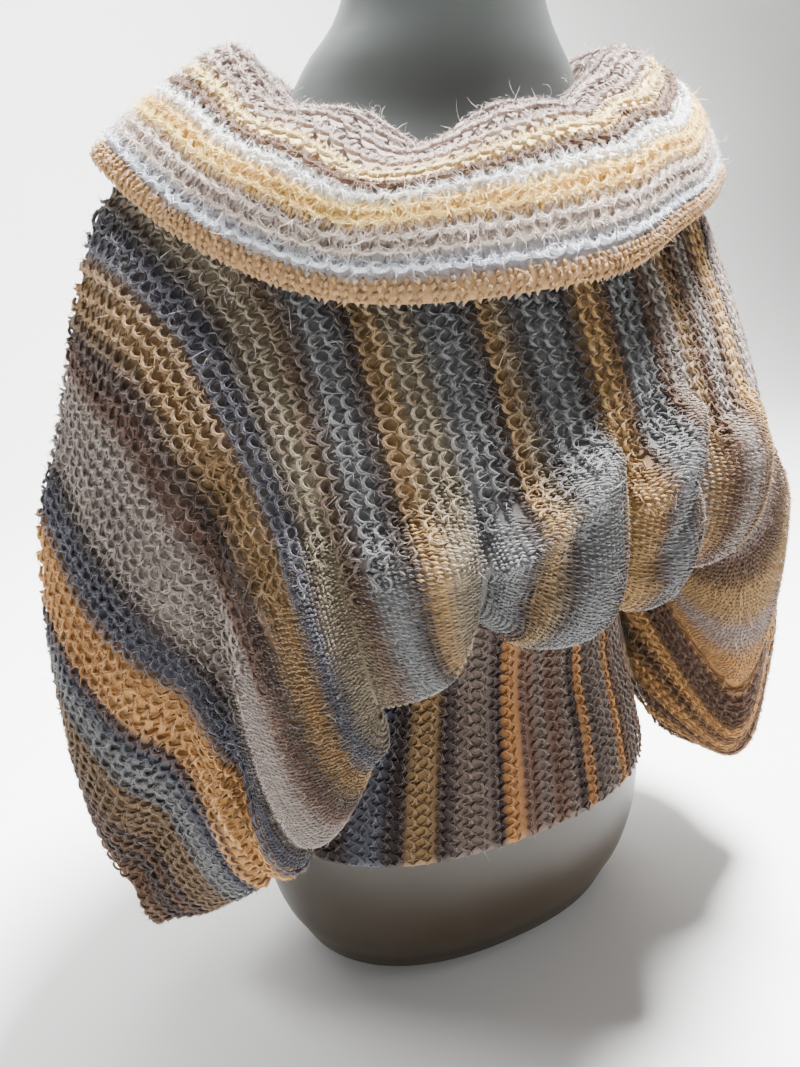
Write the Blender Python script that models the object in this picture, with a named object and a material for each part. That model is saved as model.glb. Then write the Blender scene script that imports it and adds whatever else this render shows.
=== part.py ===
"""Knit batwing top with a fold-over cowl collar, standing on a limbless dress form.

Metres, +Z up. The wearer faces -Y. The origin is the centre of the form's flat base.
"""

import math

import bpy
import numpy as np

# Driving dimensions
WALL = 0.003  # thickness of the brushed knit
SEAM_GAP = 0.0006  # clearance between pieces that are sewn together
COLLAR_LIFT = 0.0020  # clearance between the collar and the panels' upper edge
FORM_GAP = 0.0006  # clearance between the waistband and the form
HEM_HEIGHT = 0.125  # lower edge of the waistband
BAND_TOP = 0.327  # upper edge of the waistband, under the gathers
TUCK_BELOW = 0.006  # the gathers are sewn on this far below the waistband's upper edge
TUCK_GAP = 0.0020  # clearance between the gathers and the waistband

# Mesh steps
FORM_SIDES = 36
BAND_RIDGES = 72  # garter ridges round the waistband
POINTS_PER_RIDGE = 3
COLLAR_SIDES = 48
COLLAR_STEPS = 19
FRONT_STEPS = 23
BACK_STEPS = 17

RIDGE_HEIGHT = 0.0012
COLLAR_RIDGES = 4
COLLAR_RIDGE_HEIGHT = 0.0016

# Dress form: height, half width, depth to the front, depth to the back, squareness (2 is an ellipse)
FORM_SECTIONS = (
    (0.000, 0.100, 0.062, 0.062, 2.3),
    (0.007, 0.120, 0.080, 0.080, 2.3),
    (0.033, 0.143, 0.098, 0.098, 2.3),
    (0.073, 0.156, 0.109, 0.108, 2.3),
    (0.115, 0.158, 0.110, 0.107, 2.3),
    (0.175, 0.146, 0.103, 0.096, 2.3),
    (0.240, 0.127, 0.094, 0.083, 2.3),
    (0.305, 0.129, 0.101, 0.085, 2.3),
    (0.360, 0.140, 0.119, 0.094, 2.3),
    (0.400, 0.147, 0.125, 0.099, 2.3),
    (0.460, 0.156, 0.108, 0.102, 2.2),
    (0.510, 0.165, 0.083, 0.094, 2.0),
    (0.535, 0.164, 0.071, 0.082, 1.8),
    (0.552, 0.155, 0.065, 0.073, 1.75),
    (0.565, 0.135, 0.061, 0.068, 1.7),
    (0.578, 0.113, 0.058, 0.063, 1.7),
    (0.595, 0.098, 0.056, 0.060, 1.8),
    (0.613, 0.086, 0.056, 0.059, 1.9),
    (0.631, 0.070, 0.055, 0.057, 2.0),
    (0.651, 0.060, 0.054, 0.055, 2.0),
    (0.685, 0.057, 0.053, 0.054, 2.0),
)

# Front panel, one knitted row for each station, from the wearer's right cuff (-1) to the left cuff (+1).
# Columns: station, then a point on the neck, shoulder and oversleeve line, on the chest, at the bust,
# and at the lowest hang.
FRONT_ROWS = (
    (-1.00, (-0.275, 0.000, 0.213), (-0.268, -0.028, 0.171), (-0.258, -0.036, 0.133), (-0.247, -0.026, 0.090)),
    (-0.88, (-0.275, 0.000, 0.293), (-0.270, -0.040, 0.230), (-0.252, -0.054, 0.169), (-0.216, -0.042, 0.097)),
    (-0.75, (-0.268, 0.000, 0.370), (-0.264, -0.048, 0.290), (-0.242, -0.072, 0.213), (-0.196, -0.064, 0.121)),
    (-0.62, (-0.248, 0.000, 0.427), (-0.248, -0.054, 0.345), (-0.230, -0.088, 0.265), (-0.176, -0.078, 0.143)),
    (-0.50, (-0.226, 0.000, 0.500), (-0.227, -0.054, 0.425), (-0.210, -0.104, 0.329), (-0.160, -0.102, 0.181)),
    (-0.45, (-0.210, 0.000, 0.537), (-0.212, -0.058, 0.465), (-0.192, -0.117, 0.353), (-0.150, -0.112, 0.209)),
    (-0.40, (-0.182, 0.000, 0.558), (-0.184, -0.066, 0.483), (-0.168, -0.128, 0.375), (-0.138, -0.120, 0.241)),
    (-0.30, (-0.120, 0.000, 0.585), (-0.126, -0.090, 0.490), (-0.128, -0.146, 0.380), (-0.106, -0.138, 0.293)),
    (-0.22, (-0.097, -0.046, 0.567), (-0.096, -0.106, 0.486), (-0.097, -0.156, 0.385), (-0.088, -0.148, 0.317)),
    (-0.12, (-0.048, -0.084, 0.552), (-0.050, -0.121, 0.483), (-0.051, -0.164, 0.391), (-0.052, -0.157, 0.336)),
    (0.00, (0.000, -0.096, 0.550), (0.000, -0.128, 0.485), (0.000, -0.170, 0.393), (0.000, -0.166, 0.325)),
    (0.12, (0.048, -0.084, 0.552), (0.048, -0.122, 0.489), (0.048, -0.164, 0.399), (0.046, -0.159, 0.335)),
    (0.22, (0.097, -0.046, 0.567), (0.092, -0.107, 0.496), (0.092, -0.154, 0.401), (0.086, -0.148, 0.339)),
    (0.30, (0.120, 0.000, 0.585), (0.124, -0.090, 0.500), (0.120, -0.144, 0.400), (0.110, -0.138, 0.339)),
    (0.40, (0.182, 0.000, 0.558), (0.178, -0.062, 0.487), (0.166, -0.118, 0.390), (0.150, -0.118, 0.320)),
    (0.45, (0.208, 0.000, 0.535), (0.203, -0.054, 0.461), (0.188, -0.107, 0.368), (0.164, -0.110, 0.288)),
    (0.50, (0.223, 0.000, 0.497), (0.217, -0.048, 0.425), (0.204, -0.094, 0.345), (0.176, -0.100, 0.255)),
    (0.62, (0.246, 0.000, 0.427), (0.240, -0.048, 0.347), (0.226, -0.084, 0.275), (0.188, -0.092, 0.165)),
    (0.75, (0.258, 0.000, 0.370), (0.252, -0.044, 0.290), (0.238, -0.070, 0.217), (0.198, -0.076, 0.125)),
    (0.88, (0.260, 0.000, 0.293), (0.256, -0.040, 0.231), (0.244, -0.054, 0.175), (0.214, -0.056, 0.111)),
    (1.00, (0.256, 0.000, 0.215), (0.254, -0.030, 0.180), (0.246, -0.040, 0.149), (0.228, -0.036, 0.115)),
)
# Back panel, the same columns
BACK_ROWS = (
    (-1.00, (-0.275, 0.000, 0.213), (-0.268, 0.025, 0.175), (-0.258, 0.032, 0.137), (-0.252, 0.023, 0.096)),
    (-0.88, (-0.275, 0.000, 0.293), (-0.270, 0.036, 0.234), (-0.252, 0.049, 0.173), (-0.220, 0.038, 0.103)),
    (-0.75, (-0.268, 0.000, 0.370), (-0.264, 0.043, 0.294), (-0.242, 0.065, 0.217), (-0.200, 0.058, 0.127)),
    (-0.62, (-0.248, 0.000, 0.427), (-0.248, 0.049, 0.349), (-0.230, 0.079, 0.269), (-0.180, 0.070, 0.149)),
    (-0.50, (-0.226, 0.000, 0.500), (-0.227, 0.049, 0.429), (-0.210, 0.094, 0.333), (-0.163, 0.092, 0.187)),
    (-0.45, (-0.210, 0.000, 0.537), (-0.212, 0.052, 0.469), (-0.192, 0.105, 0.357), (-0.153, 0.101, 0.215)),
    (-0.40, (-0.182, 0.000, 0.558), (-0.184, 0.059, 0.487), (-0.168, 0.115, 0.379), (-0.141, 0.108, 0.247)),
    (-0.30, (-0.120, 0.000, 0.585), (-0.128, 0.084, 0.505), (-0.132, 0.122, 0.400), (-0.120, 0.124, 0.300)),
    (-0.22, (-0.097, 0.046, 0.578), (-0.096, 0.104, 0.505), (-0.100, 0.130, 0.403), (-0.098, 0.133, 0.324)),
    (-0.12, (-0.048, 0.080, 0.572), (-0.054, 0.117, 0.505), (-0.058, 0.134, 0.405), (-0.058, 0.138, 0.326)),
    (0.00, (0.000, 0.086, 0.570), (0.000, 0.120, 0.505), (0.000, 0.134, 0.405), (0.000, 0.140, 0.323)),
    (0.12, (0.048, 0.080, 0.572), (0.054, 0.117, 0.505), (0.058, 0.134, 0.405), (0.058, 0.138, 0.326)),
    (0.22, (0.097, 0.046, 0.578), (0.096, 0.104, 0.505), (0.100, 0.130, 0.403), (0.098, 0.133, 0.324)),
    (0.30, (0.120, 0.000, 0.585), (0.128, 0.084, 0.505), (0.132, 0.122, 0.400), (0.120, 0.124, 0.315)),
    (0.40, (0.182, 0.000, 0.558), (0.178, 0.056, 0.491), (0.166, 0.106, 0.394), (0.153, 0.106, 0.326)),
    (0.45, (0.208, 0.000, 0.535), (0.203, 0.049, 0.465), (0.188, 0.096, 0.372), (0.167, 0.099, 0.294)),
    (0.50, (0.223, 0.000, 0.497), (0.217, 0.043, 0.429), (0.204, 0.085, 0.349), (0.180, 0.090, 0.261)),
    (0.62, (0.246, 0.000, 0.427), (0.240, 0.043, 0.351), (0.226, 0.076, 0.279), (0.192, 0.083, 0.171)),
    (0.75, (0.258, 0.000, 0.370), (0.252, 0.040, 0.294), (0.238, 0.063, 0.221), (0.202, 0.068, 0.131)),
    (0.88, (0.260, 0.000, 0.293), (0.256, 0.036, 0.235), (0.244, 0.049, 0.179), (0.218, 0.050, 0.117)),
    (1.00, (0.256, 0.000, 0.215), (0.254, 0.027, 0.184), (0.246, 0.036, 0.153), (0.233, 0.032, 0.121)),
)
ROW_KNOTS = (0.0, 0.27, 0.54, 0.80, 1.0)  # where the columns and the sewn lower edge lie along a row

# Sewn lower edge: up to this station the row ends on the waistband, and past it in the underarm seam
BAND_STATION = 0.58
NECK_STATION = 0.30  # the neckline ends here and the shoulder seam begins
UNDERARM_SEAM = (
    (-1.00, (-0.240, 0.000, 0.059)),
    (-0.88, (-0.205, 0.000, 0.113)),
    (-0.75, (-0.170, 0.000, 0.195)),
    (-0.64, (-0.144, 0.000, 0.287)),
    (0.64, (0.142, 0.000, 0.281)),
    (0.75, (0.158, 0.000, 0.179)),
    (0.88, (0.186, 0.000, 0.113)),
    (1.00, (0.210, 0.000, 0.099)),
)

# The wearer's left sleeve swings forward: station, distance
SWING = ((0.45, 0.000), (0.65, 0.012), (0.80, 0.028), (1.00, 0.045))

# Collar, from the front round by the wearer's left. Columns: angle, then the fold, the middle of the fall
# and its loose edge. It starts from the panels' upper edge at the neck.
COLLAR_ROWS = (
    (0.0, (0.000, -0.084, 0.579), (0.002, -0.126, 0.547), (0.000, -0.152, 0.493)),
    (35.0, (0.050, -0.062, 0.593), (0.072, -0.112, 0.563), (0.074, -0.130, 0.516)),
    (65.0, (0.096, -0.030, 0.611), (0.128, -0.072, 0.579), (0.138, -0.090, 0.535)),
    (90.0, (0.120, 0.000, 0.627), (0.166, -0.020, 0.605), (0.198, -0.028, 0.553)),
    (135.0, (0.072, 0.072, 0.609), (0.110, 0.108, 0.585), (0.134, 0.128, 0.537)),
    (180.0, (0.000, 0.086, 0.603), (0.000, 0.124, 0.575), (0.000, 0.150, 0.525)),
    (225.0, (-0.072, 0.072, 0.609), (-0.110, 0.108, 0.585), (-0.136, 0.128, 0.537)),
    (270.0, (-0.124, 0.006, 0.613), (-0.170, 0.004, 0.591), (-0.208, 0.012, 0.561)),
    (295.0, (-0.114, -0.034, 0.588), (-0.154, -0.058, 0.561), (-0.185, -0.050, 0.523)),
    (325.0, (-0.062, -0.074, 0.571), (-0.106, -0.108, 0.539), (-0.122, -0.114, 0.488)),
)
COLLAR_KNOTS = (0.0, 0.25, 0.62, 1.0)

# The cloth rounds over the form's shoulder: station of the most, half width in stations, how far it stands out
SHOULDER_ROUND = (0.33, 0.13, 0.012)

# Gathers above the waistband. Columns: first and last station of the puff, how far it stands out,
# and where along the row it begins.
FRONT_PUFFS = (
    (-0.620, -0.490, 0.010, 0.56),
    (-0.490, -0.340, 0.020, 0.54),
    (-0.340, -0.165, 0.022, 0.50),
    (-0.165, 0.025, 0.027, 0.43),
    (0.025, 0.175, 0.021, 0.44),
    (0.175, 0.380, 0.020, 0.48),
    (0.380, 0.580, 0.018, 0.48),
)
BACK_PUFFS = (
    (-0.580, -0.390, 0.014, 0.52),
    (-0.390, -0.210, 0.018, 0.50),
    (-0.210, -0.020, 0.020, 0.48),
    (-0.020, 0.190, 0.021, 0.50),
    (0.190, 0.370, 0.018, 0.48),
    (0.370, 0.580, 0.014, 0.52),
)
# Crease down the wearer's right sleeve: first and last station, depth, where along the row, half width
CREASE = (-0.95, -0.50, 0.009, 0.58, 0.09)
PUFF_STEPS = 5  # stations across a puff
SLEEVE_STEPS = 9  # stations along a sleeve, past the gathers


def spline(knots, values, at):
    """Smooth cubic through the values at the knots."""
    knots, values, at = (np.asarray(part, float) for part in (knots, values, at))
    slopes = np.gradient(values, knots, axis=0)
    low = np.clip(np.searchsorted(knots, at, side="right") - 1, 0, len(knots) - 2)
    across = at.shape + (1,) * (values.ndim - 1)
    span = (knots[low + 1] - knots[low]).reshape(across)
    t = (at - knots[low]).reshape(across) / span
    return (
        (1 + 2 * t) * (1 - t) ** 2 * values[low]
        + t * (1 - t) ** 2 * span * slopes[low]
        + t**2 * (3 - 2 * t) * values[low + 1]
        + t**2 * (t - 1) * span * slopes[low + 1]
    )


def smooth_step(t):
    t = np.clip(t, 0.0, 1.0)
    return t * t * (3 - 2 * t)


def form_sections(heights):
    """Half width, front depth, back depth and squareness of the form at each height."""
    table = np.array(FORM_SECTIONS)
    return spline(table[:, 0], table[:, 1:], heights)


def form_ring(heights, angles, offset):
    """Points round the form, moved out by the offset. Angle 0 is the front and +90 degrees is +X."""
    size = form_sections(heights)
    s, c = np.sin(angles), np.cos(angles)
    power = 2 / size[..., 3]
    depth = np.where(c > 0, size[..., 1], size[..., 2])
    x = (size[..., 0] + offset) * np.sign(s) * np.abs(s) ** power
    y = -(depth + offset) * np.sign(c) * np.abs(c) ** power
    return np.stack([x, y, heights + 0 * angles], axis=-1)


def grid_normals(points, closed):
    """Unit normals of a grid of points: first index along the piece, second index from top to bottom."""
    if closed:
        wrapped = np.concatenate([points[-1:], points, points[:1]])
        along = (wrapped[2:] - wrapped[:-2]) / 2
    else:
        along = np.gradient(points, axis=0)
    down = np.gradient(points, axis=1)
    normal = np.cross(down, along)
    return normal / np.linalg.norm(normal, axis=-1, keepdims=True)


def new_object(name, verts, faces, material):
    mesh = bpy.data.meshes.new(name)
    mesh.from_pydata([tuple(v) for v in verts], [], faces)
    mesh.shade_smooth()
    mesh.materials.append(material)
    obj = bpy.data.objects.new(name, mesh)
    bpy.context.scene.collection.objects.link(obj)
    return obj


def wall(name, outer, inner, closed, material):
    """A closed cloth wall between two grids of points, its edges joined by strips."""
    n_along, n_down = outer.shape[:2]
    count = n_along * n_down

    def at(i, j):
        return (i % n_along) * n_down + j

    faces = []
    spans = n_along if closed else n_along - 1
    for i in range(spans):
        for j in range(n_down - 1):
            quad = (at(i, j), at(i, j + 1), at(i + 1, j + 1), at(i + 1, j))
            faces.append(quad)
            faces.append(tuple(count + k for k in reversed(quad)))
        for j in (0, n_down - 1):
            strip = (at(i, j), at(i + 1, j), count + at(i + 1, j), count + at(i, j))
            faces.append(strip if j == 0 else strip[::-1])
    if not closed:
        for i in (0, n_along - 1):
            for j in range(n_down - 1):
                strip = (at(i, j), count + at(i, j), count + at(i, j + 1), at(i, j + 1))
                faces.append(strip if i == 0 else strip[::-1])
    verts = np.concatenate([outer.reshape(-1, 3), inner.reshape(-1, 3)])
    return new_object(name, verts, faces, material)


def material(name, colour, roughness):
    made = bpy.data.materials.new(name)
    made.use_nodes = True
    shader = made.node_tree.nodes["Principled BSDF"]
    shader.inputs["Base Color"].default_value = (*colour, 1.0)
    shader.inputs["Roughness"].default_value = roughness
    shader.inputs["Metallic"].default_value = 0.0
    return made


def band_heights():
    """Levels of the waistband, from the hem up. Between its edges they are those of the form."""
    between = [row[0] for row in FORM_SECTIONS if HEM_HEIGHT < row[0] < BAND_TOP]
    return np.array([HEM_HEIGHT, *between, BAND_TOP])


def dress_form():
    """Smooth limbless torso with a neck, closed by a flat base and a flat neck top."""
    heights = np.unique([*(row[0] for row in FORM_SECTIONS), *band_heights()])
    angles = np.linspace(0, 2 * math.pi, FORM_SIDES, endpoint=False)
    rings = form_ring(heights[:, None], angles[None, :], 0.0)
    verts = rings.reshape(-1, 3)
    faces = []
    for i in range(len(heights) - 1):
        low, high = i * FORM_SIDES, (i + 1) * FORM_SIDES
        for j in range(FORM_SIDES):
            k = (j + 1) % FORM_SIDES
            faces.append((low + j, low + k, high + k, high + j))
    faces.append(tuple(reversed(range(FORM_SIDES))))
    faces.append(tuple(range(len(verts) - FORM_SIDES, len(verts))))
    return new_object("dress_form", verts, faces, material("form_plastic", (0.20, 0.21, 0.17), 0.45))


def waistband():
    """Fitted tube from the hem to the gathers, with garter ridges raised on its outside."""
    columns = BAND_RIDGES * POINTS_PER_RIDGE
    angles = np.linspace(0, 2 * math.pi, columns, endpoint=False)
    heights = band_heights()[::-1]
    plain_above = BAND_TOP - 3 * TUCK_BELOW
    raised = smooth_step((plain_above - heights) / (2 * TUCK_BELOW))
    ridge = RIDGE_HEIGHT * (0.5 + 0.5 * np.cos(BAND_RIDGES * angles))
    offset = FORM_GAP + WALL + raised[None, :] * ridge[:, None]
    outer = form_ring(heights[None, :], angles[:, None], offset)
    inner = form_ring(heights[None, :], angles[:, None], FORM_GAP + 0 * offset)
    return wall("waistband", outer, inner, True, material("band_knit", (0.24, 0.17, 0.14), 0.9))


def sewn_edge(stations, side):
    """Where each row ends: on the waistband up to its last station, and then along the underarm seam."""
    turn = np.clip(stations / BAND_STATION, -1, 1) * math.pi / 2
    angles = turn if side < 0 else math.pi - turn
    heights = np.full_like(stations, BAND_TOP - TUCK_BELOW)
    ends = form_ring(heights, angles, FORM_GAP + WALL + TUCK_GAP)
    for sign in (-1, 1):
        past = stations * sign > BAND_STATION
        corner = form_ring(heights[:1], np.array([sign * math.pi / 2]), FORM_GAP + WALL + TUCK_GAP)[0]
        seam = [row for row in UNDERARM_SEAM if row[0] * sign > 0]
        seam = sorted([(sign * BAND_STATION, tuple(corner)), *seam])
        ends[past] = spline([row[0] for row in seam], [row[1] for row in seam], stations[past])
    return ends


def top_edge(rows, stations, side):
    """Neck, shoulder and oversleeve line of a panel, kept on its own side of the seam."""
    points = spline([row[0] for row in rows], [row[1] for row in rows], stations)
    points[:, 1] = side * np.maximum(side * points[:, 1], SEAM_GAP / 2)
    return points


def neck_edge(angles):
    """The panels' upper edge round the neck, by angle from the front, moved in by the wall and up by the lift."""
    turn = (angles + 180) % 360 - 180
    at_front = np.abs(turn) <= 90
    stations = np.where(at_front, turn, np.sign(turn) * (180 - np.abs(turn))) / 90 * NECK_STATION
    front, back = top_edge(FRONT_ROWS, stations, -1), top_edge(BACK_ROWS, stations, 1)
    points = np.where(at_front[:, None], front, back)
    inwards = points[:, :2] / np.linalg.norm(points[:, :2], axis=1, keepdims=True)
    points[:, :2] -= WALL * inwards
    points[:, 2] += COLLAR_LIFT
    return points


def panel_surface(rows, stations, steps, side):
    """Outer points of a panel: a spline over the stations for each column, then one along each row."""
    knots = [row[0] for row in rows]
    columns = [spline(knots, [row[c] for row in rows], stations) for c in range(2, len(rows[0]))]
    net = np.stack([top_edge(rows, stations, side), *columns, sewn_edge(stations, side)])
    along = np.linspace(0, 1, steps)
    return spline(ROW_KNOTS, net, along).transpose(1, 0, 2), along


def puff_height(puffs, stations, along):
    """How far the gathers stand out: round across each puff, sharp in the valleys between."""
    out = np.zeros((len(stations), len(along)))
    for first, last, height, start in puffs:
        across = np.clip((2 * stations - first - last) / (last - first), -1, 1)
        rise = smooth_step((along - start) / 0.16) * smooth_step((1.0 - along) / 0.14)
        out += height * np.outer((1 - across**2) ** 0.8, rise)
    return out


def shoulder_round(stations, along):
    """How far the cloth stands out where it turns over the form's shoulders."""
    middle, half_width, height = SHOULDER_ROUND
    beside = np.clip((np.abs(stations) - middle) / half_width, -1, 1)
    down = np.clip(along / ROW_KNOTS[1], 0, 1)
    return height * np.outer(0.5 + 0.5 * np.cos(math.pi * beside), np.sin(math.pi * down**0.7))


def crease_depth(stations, along):
    """How deep the sleeve is creased."""
    first, last, depth, middle, half_width = CREASE
    length = smooth_step((stations - first) / 0.12) * smooth_step((last - stations) / 0.12)
    across = np.clip((along - middle) / half_width, -1, 1)
    return depth * np.outer(length, 0.5 + 0.5 * np.cos(math.pi * across))


def panel_stations(puffs):
    """Stations across every puff, and along both sleeves past them."""
    first, last = puffs[0][0], puffs[-1][1]
    spans = [np.linspace(-1, first, SLEEVE_STEPS, endpoint=False)]
    spans += [np.linspace(puff[0], puff[1], PUFF_STEPS, endpoint=False) for puff in puffs]
    spans += [np.linspace(last, 1, SLEEVE_STEPS)]
    return np.concatenate(spans)


def panel(name, rows, puffs, steps, side, colour):
    """One batwing panel. Side is -1 for the front and +1 for the back."""
    stations = panel_stations(puffs)[::-side]
    outer, along = panel_surface(rows, stations, steps, side)
    relief = puff_height(puffs, stations, along) + shoulder_round(stations, along)
    if side < 0:
        relief -= crease_depth(stations, along)
    outer = outer + grid_normals(outer, False) * relief[..., None]
    normal = grid_normals(outer, False)
    # The shoulder and underarm seams lie in the plane between front and back, so the wall's edges stay in it.
    for column, in_seam in ((0, np.abs(stations) >= NECK_STATION), (-1, np.abs(stations) > BAND_STATION)):
        normal[in_seam, column, 1] = 0
        outer[in_seam, column, 1] = side * SEAM_GAP / 2
    normal[np.abs(stations) <= BAND_STATION, -1] = (0, 0, -1)
    normal /= np.linalg.norm(normal, axis=-1, keepdims=True)
    inner = outer - WALL * normal
    for face in (outer, inner):
        face[..., 1] = side * np.maximum(side * face[..., 1], SEAM_GAP / 2)
    swing = np.interp(stations, [row[0] for row in SWING], [row[1] for row in SWING])
    outer[..., 1] -= swing[:, None]
    inner[..., 1] -= swing[:, None]
    return wall(name, outer, inner, False, material(name + "_knit", colour, 0.9))


def collar():
    """Cowl collar: a ring with a short stand that folds over and falls outwards."""
    turns = np.array([row[0] for row in COLLAR_ROWS])
    points = np.array([row[1:] for row in COLLAR_ROWS])
    knots = np.concatenate([turns - 360, turns, turns + 360])
    values = np.concatenate([points, points, points])
    angles = np.linspace(0, 360, COLLAR_SIDES, endpoint=False)
    net = np.stack([neck_edge(angles), *spline(knots, values, angles).transpose(1, 0, 2)])
    along = np.linspace(0, 1, COLLAR_STEPS)
    outer = spline(COLLAR_KNOTS, net, along).transpose(1, 0, 2)
    normal = grid_normals(outer, True)
    fall = smooth_step((along - COLLAR_KNOTS[1]) / 0.1)
    ridge = COLLAR_RIDGE_HEIGHT * fall * np.cos(2 * math.pi * COLLAR_RIDGES * (along - COLLAR_KNOTS[1]))
    inner = outer - WALL * normal
    outer = outer + normal * ridge[None, :, None]
    return wall("collar", outer, inner, True, material("collar_knit", (0.50, 0.42, 0.32), 0.9))


def clear_scene():
    for obj in list(bpy.data.objects):
        bpy.data.objects.remove(obj)


def main():
    clear_scene()
    dress_form()
    waistband()
    panel("front", FRONT_ROWS, FRONT_PUFFS, FRONT_STEPS, -1, (0.33, 0.27, 0.20))
    panel("back", BACK_ROWS, BACK_PUFFS, BACK_STEPS, 1, (0.33, 0.27, 0.20))
    collar()


main()
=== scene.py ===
"""Striped mohair batwing top with a fold-over cowl collar, on a limbless dress form.

Metres, +Z up. The wearer faces -Y, and the origin is the centre of the form's flat base.
"""

import math

import bpy
import numpy as np
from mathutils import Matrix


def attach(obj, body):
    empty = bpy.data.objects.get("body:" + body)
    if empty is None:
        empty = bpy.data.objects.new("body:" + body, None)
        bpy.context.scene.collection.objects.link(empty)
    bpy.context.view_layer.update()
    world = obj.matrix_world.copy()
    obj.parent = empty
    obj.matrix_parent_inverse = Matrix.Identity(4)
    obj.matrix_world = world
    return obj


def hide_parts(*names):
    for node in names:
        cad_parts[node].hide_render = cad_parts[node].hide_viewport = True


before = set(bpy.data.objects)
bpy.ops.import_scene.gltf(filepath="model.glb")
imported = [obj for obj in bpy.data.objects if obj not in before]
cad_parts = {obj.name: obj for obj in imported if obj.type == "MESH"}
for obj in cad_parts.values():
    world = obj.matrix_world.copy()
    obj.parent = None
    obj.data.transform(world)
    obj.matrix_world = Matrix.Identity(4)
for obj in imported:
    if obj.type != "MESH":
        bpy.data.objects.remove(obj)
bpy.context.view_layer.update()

# Camera
# It stands a little above the collar and to the wearer's right, and looks down at the chest.
CAMERA_TURN = math.radians(-25.0)
CAMERA_PITCH = math.radians(19.6)
CAMERA_ROLL = math.radians(-1.9)
CAMERA_DISTANCE = 0.551
CAMERA_SHIFT = 0.036
CAMERA_HEIGHT = 0.511
LENS_MM = 26.99

level_right = np.array([math.cos(CAMERA_TURN), math.sin(CAMERA_TURN), 0.0])
backwards = np.array([math.sin(CAMERA_TURN), -math.cos(CAMERA_TURN), 0.0])
eye = CAMERA_DISTANCE * backwards - CAMERA_SHIFT * level_right + np.array([0.0, 0.0, CAMERA_HEIGHT])
looking = -math.cos(CAMERA_PITCH) * backwards - np.array([0.0, 0.0, math.sin(CAMERA_PITCH)])
level_up = np.cross(level_right, looking)
camera_right = math.cos(CAMERA_ROLL) * level_right + math.sin(CAMERA_ROLL) * level_up
camera_up = math.cos(CAMERA_ROLL) * level_up - math.sin(CAMERA_ROLL) * level_right
camera_data = bpy.data.cameras.new("camera")
camera_data.lens = LENS_MM
camera_data.sensor_width = 36.0
camera_data.clip_start = 0.01
camera = bpy.data.objects.new("camera", camera_data)
camera_matrix = np.eye(4)
camera_matrix[:3] = np.column_stack([camera_right, camera_up, -looking, eye])
camera.matrix_world = camera_matrix.T.tolist()
bpy.context.scene.collection.objects.link(camera)
bpy.context.scene.camera = camera

# Floor and light
# A pale sheet that sweeps up behind the form, a broad light over its shoulders and weaker ones in front.
SWEEP_HALF = 3.0
SWEEP_BACK = 2.2
SWEEP_ROUND = 0.9
SWEEP_TOP = 3.4
turn = np.linspace(0.0, math.pi / 2, 24)
sweep_y = np.concatenate([[-3.0, 0.0], SWEEP_BACK - SWEEP_ROUND + SWEEP_ROUND * np.sin(turn), [SWEEP_BACK]])
sweep_z = np.concatenate([[0.0, 0.0], SWEEP_ROUND - SWEEP_ROUND * np.cos(turn), [SWEEP_TOP]])
sweep = np.stack(np.broadcast_arrays(np.array([[-SWEEP_HALF], [SWEEP_HALF]]), sweep_y, sweep_z), axis=-1)
strip = np.arange(len(sweep_y) - 1)
sweep_faces = np.stack([strip, strip + len(sweep_y), strip + len(sweep_y) + 1, strip + 1], axis=1)
backdrop_mesh = bpy.data.meshes.new("backdrop")
backdrop_mesh.from_pydata(sweep.reshape(-1, 3).tolist(), [], sweep_faces.tolist())
backdrop_mesh.shade_smooth()
backdrop = bpy.data.objects.new("backdrop", backdrop_mesh)
bpy.context.scene.collection.objects.link(backdrop)
paper = bpy.data.materials.new("pale_paper")
paper.use_nodes = True
paper.node_tree.nodes["Principled BSDF"].inputs["Base Color"].default_value = (0.86, 0.86, 0.85, 1.0)
paper.node_tree.nodes["Principled BSDF"].inputs["Roughness"].default_value = 0.9
backdrop_mesh.materials.append(paper)

# Name, place, what it points at, size and power of each soft light
for light_name, place, aim, size, power in (
    ("over_shoulders", (0.32, 0.06, 1.90), (0.0, -0.05, 0.50), 0.45, 325.0),
    ("front_left", (-1.50, -1.60, 1.00), (0.0, 0.0, 0.35), 1.6, 5.5),
    ("front_right", (1.60, -1.10, 1.10), (0.0, 0.0, 0.40), 1.4, 7.5),
    ("beside_neck", (-1.10, 0.30, 1.10), (0.0, 0.0, 0.66), 0.4, 15.0),
    ("behind", (0.0, 0.95, 2.30), (0.0, 2.20, 0.60), 1.6, 90.0),
):
    light_data = bpy.data.lights.new(light_name, "AREA")
    light_data.shape = "DISK"
    light_data.size = size
    light_data.energy = power
    light = bpy.data.objects.new(light_name, light_data)
    away = np.array(place) - np.array(aim)
    away = away / np.linalg.norm(away)
    sideways = np.cross([0.0, 0.0, 1.0], away)
    sideways = sideways / np.linalg.norm(sideways)
    light_matrix = np.eye(4)
    light_matrix[:3] = np.column_stack([sideways, np.cross(away, sideways), away, place])
    light.matrix_world = light_matrix.T.tolist()
    bpy.context.scene.collection.objects.link(light)
sky = bpy.data.worlds.new("soft_room")
sky.use_nodes = True
sky.node_tree.nodes["Background"].inputs["Color"].default_value = (1.0, 1.0, 1.0, 1.0)
sky.node_tree.nodes["Background"].inputs["Strength"].default_value = 0.22
bpy.context.scene.world = sky

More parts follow.
